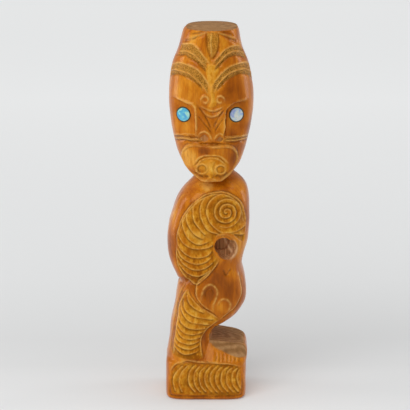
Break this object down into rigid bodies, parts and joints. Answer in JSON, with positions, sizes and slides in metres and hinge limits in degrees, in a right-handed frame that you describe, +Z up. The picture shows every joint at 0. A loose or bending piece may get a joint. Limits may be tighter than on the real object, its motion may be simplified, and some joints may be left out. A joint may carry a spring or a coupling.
{
  "type": "carved wooden tekoteko figure",
  "caption": "Standing carved wooden figure with a mask-like head, spiral and rib carving, a bent leg on a block base, and round shell eyes.",
  "frame": {"origin": "under the middle of the bounding box, on the plane that the base stands on", "axes": "+Z up along the figure's height, -Y towards the viewer whom the figure faces, +X to the viewer's right"},
  "size_m": [0.0697, 0.0585, 0.3],
  "materials": {
    "varnished_wood": "Honey to red-brown wood under gloss varnish, ochre in the carving, bare grey-brown saw cuts on the crown and the step.",
    "inlaid_shell": "Polished blue-green shell with a dark rim."
  },
  "bodies": {
    "root": {"carved_wooden_figure": "varnished_wood", "shell_eye_left": "inlaid_shell", "shell_eye_right": "inlaid_shell"}
  },
  "joints": []
}
